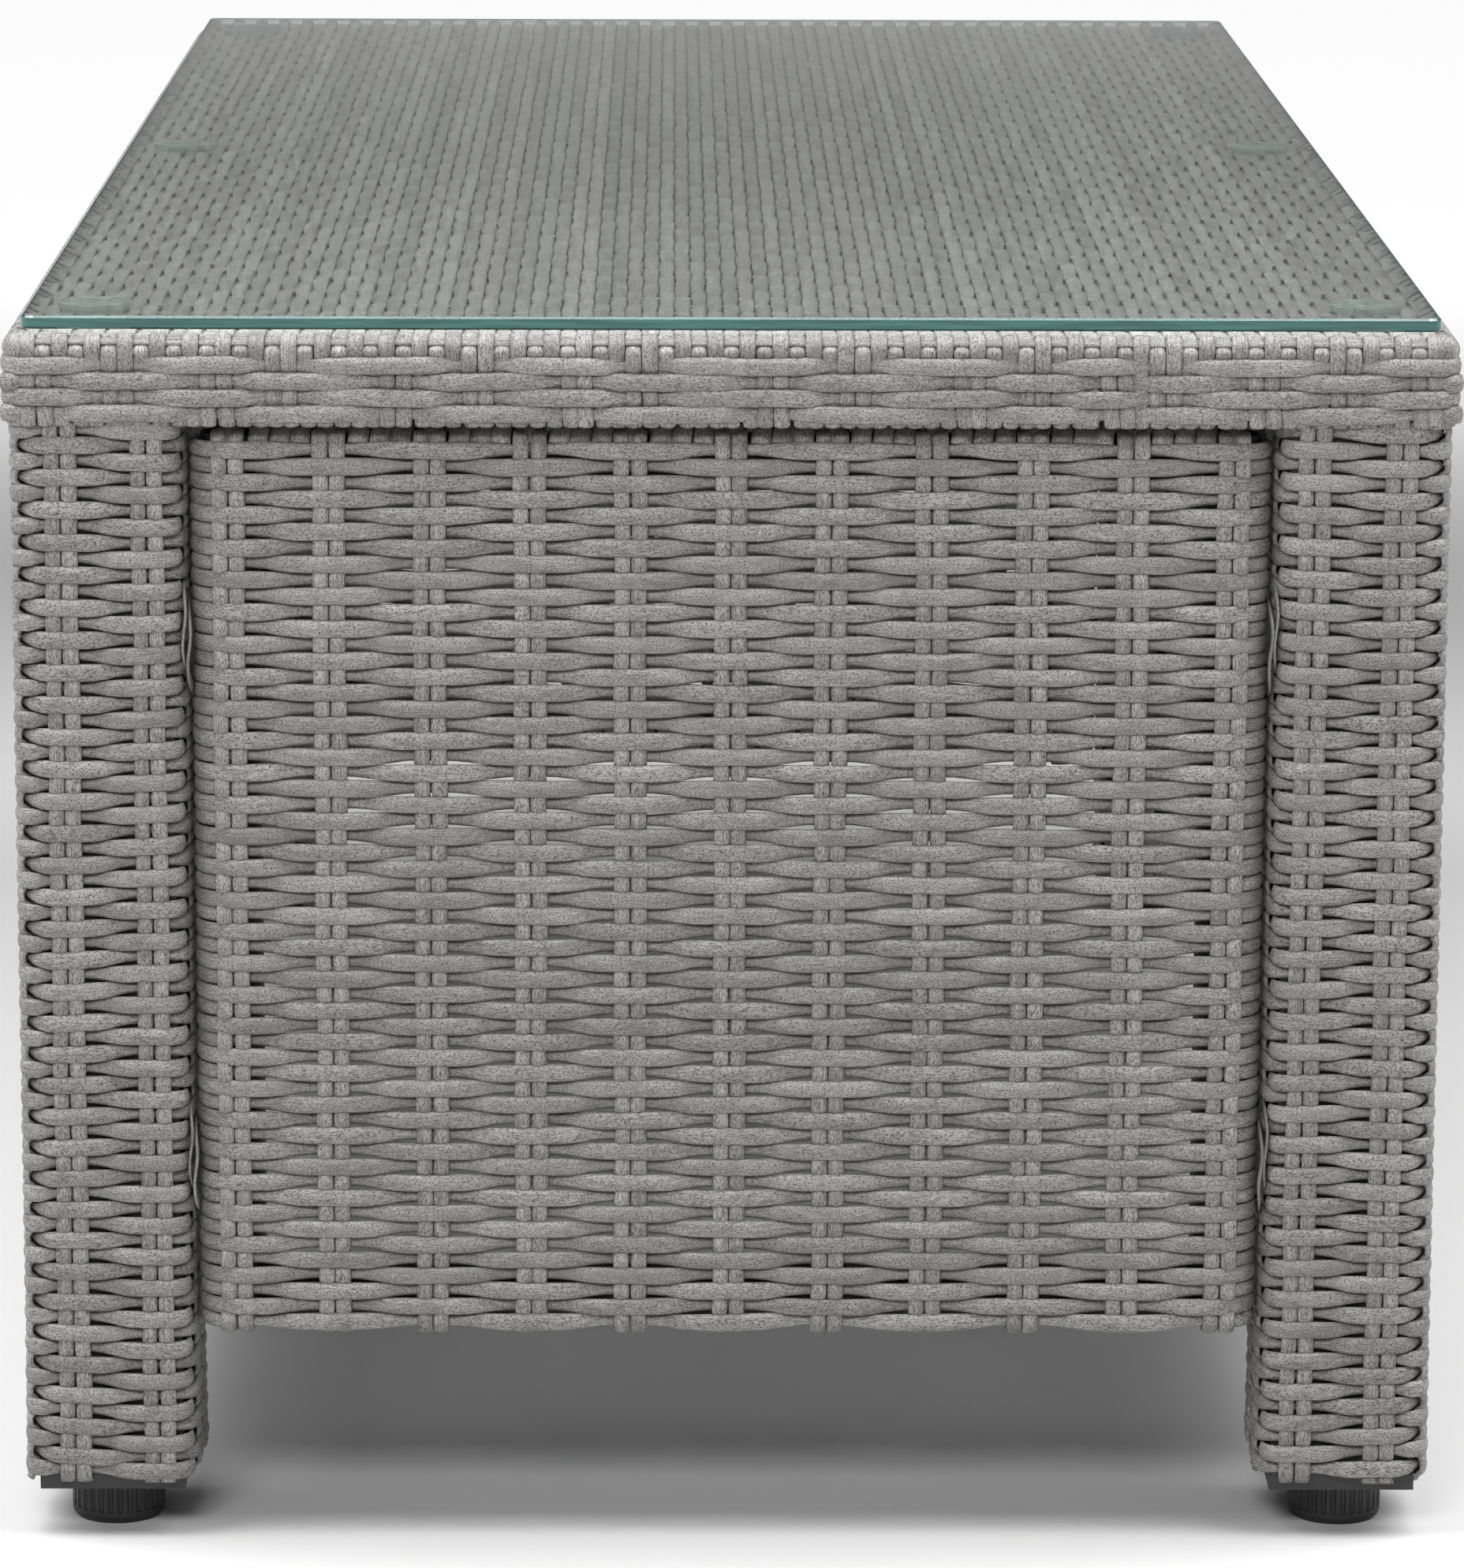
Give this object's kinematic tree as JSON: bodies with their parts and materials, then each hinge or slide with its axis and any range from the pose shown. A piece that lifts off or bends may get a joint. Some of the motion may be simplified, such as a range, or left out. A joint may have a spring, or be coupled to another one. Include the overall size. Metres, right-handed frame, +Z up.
{
  "type": "wicker coffee table",
  "caption": "Rectangular garden coffee table of woven resin strands on a steel frame, with a loose glass top and screw-out levelling feet.",
  "frame": {"origin": "on the floor, under the centre of the table", "axes": "+Z up, +Y along the table's length, +X across it"},
  "size_m": [0.546, 1.092, 0.476],
  "materials": {
    "glass": "clear tempered, polished edge",
    "clear_vinyl": "clear soft vinyl",
    "wicker": "warm grey flat polyethylene strand, streaked",
    "frame_steel": "black powder coat",
    "cap_plastic": "black moulded",
    "foot_plastic": "black moulded, fluted",
    "zinc_steel": "zinc plated"
  },
  "bodies": {
    "table": {"glass_pads": "clear_vinyl", "tabletop_weave": "wicker", "rim_weave_front": "wicker", "top_rail_front": "frame_steel", "front_panel_weave": "wicker", "front_panel_rail_bottom": "frame_steel", "front_panel_rail_top": "frame_steel", "rim_weave_back": "wicker", "top_rail_back": "frame_steel", "back_panel_weave": "wicker", "back_panel_rail_bottom": "frame_steel", "back_panel_rail_top": "frame_steel", "rim_weave_left": "wicker", "top_rail_left": "frame_steel", "left_panel_weave": "wicker", "left_panel_rail_bottom": "frame_steel", "left_panel_rail_top": "frame_steel", "rim_weave_right": "wicker", "top_rail_right": "frame_steel", "right_panel_weave": "wicker", "right_panel_rail_bottom": "frame_steel", "right_panel_rail_top": "frame_steel", "front_panel_stile_left": "frame_steel", "front_panel_stile_right": "frame_steel", "back_panel_stile_left": "frame_steel", "back_panel_stile_right": "frame_steel", "left_panel_stile_front": "frame_steel", "left_panel_stile_back": "frame_steel", "left_panel_stile_middle": "frame_steel", "right_panel_stile_front": "frame_steel", "right_panel_stile_back": "frame_steel", "right_panel_stile_middle": "frame_steel", "top_slat_front": "frame_steel", "top_slat_middle": "frame_steel", "top_slat_back": "frame_steel", "leg_post_front_left": "frame_steel", "leg_weave_front_left": "wicker", "end_cap_front_left": "cap_plastic", "leg_post_front_right": "frame_steel", "leg_weave_front_right": "wicker", "end_cap_front_right": "cap_plastic", "leg_post_back_left": "frame_steel", "leg_weave_back_left": "wicker", "end_cap_back_left": "cap_plastic", "leg_post_back_right": "frame_steel", "leg_weave_back_right": "wicker", "end_cap_back_right": "cap_plastic", "foot_nuts": "zinc_steel", "panel_lugs": "frame_steel"},
    "glass": {"glass_top": "glass"},
    "stud_front_left": {"foot_stud_front_left": "zinc_steel"},
    "glide_front_left": {"foot_glide_front_left": "foot_plastic"},
    "stud_front_right": {"foot_stud_front_right": "zinc_steel"},
    "glide_front_right": {"foot_glide_front_right": "foot_plastic"},
    "stud_back_left": {"foot_stud_back_left": "zinc_steel"},
    "glide_back_left": {"foot_glide_back_left": "foot_plastic"},
    "stud_back_right": {"foot_stud_back_right": "zinc_steel"},
    "glide_back_right": {"foot_glide_back_right": "foot_plastic"}
  },
  "joints": [
    {"name": "glass_lift", "type": "slide", "parent": "table", "child": "glass", "axis": [0, 0, 1], "range_m": [0, 0.12]},
    {"name": "foot_travel_front_left", "type": "slide", "parent": "table", "child": "stud_front_left", "axis": [0, 0, -1], "range_m": [0, 0.01]},
    {"name": "foot_turn_front_left", "type": "hinge", "parent": "stud_front_left", "child": "glide_front_left", "pos_m": [-0.238, -0.511, 0.01], "axis": [0, 0, 1], "range_deg": [0, 2880]},
    {"name": "foot_travel_front_right", "type": "slide", "parent": "table", "child": "stud_front_right", "axis": [0, 0, -1], "range_m": [0, 0.01]},
    {"name": "foot_turn_front_right", "type": "hinge", "parent": "stud_front_right", "child": "glide_front_right", "pos_m": [0.238, -0.511, 0.01], "axis": [0, 0, 1], "range_deg": [0, 2880]},
    {"name": "foot_travel_back_left", "type": "slide", "parent": "table", "child": "stud_back_left", "axis": [0, 0, -1], "range_m": [0, 0.01]},
    {"name": "foot_turn_back_left", "type": "hinge", "parent": "stud_back_left", "child": "glide_back_left", "pos_m": [-0.238, 0.511, 0.01], "axis": [0, 0, 1], "range_deg": [0, 2880]},
    {"name": "foot_travel_back_right", "type": "slide", "parent": "table", "child": "stud_back_right", "axis": [0, 0, -1], "range_m": [0, 0.01]},
    {"name": "foot_turn_back_right", "type": "hinge", "parent": "stud_back_right", "child": "glide_back_right", "pos_m": [0.238, 0.511, 0.01], "axis": [0, 0, 1], "range_deg": [0, 2880]}
  ],
  "couplings": [
    {"joint": "foot_travel_front_left", "follows": "foot_turn_front_left", "m_per_rad": 0.00019894},
    {"joint": "foot_travel_front_right", "follows": "foot_turn_front_right", "m_per_rad": 0.00019894},
    {"joint": "foot_travel_back_left", "follows": "foot_turn_back_left", "m_per_rad": 0.00019894},
    {"joint": "foot_travel_back_right", "follows": "foot_turn_back_right", "m_per_rad": 0.00019894}
  ]
}
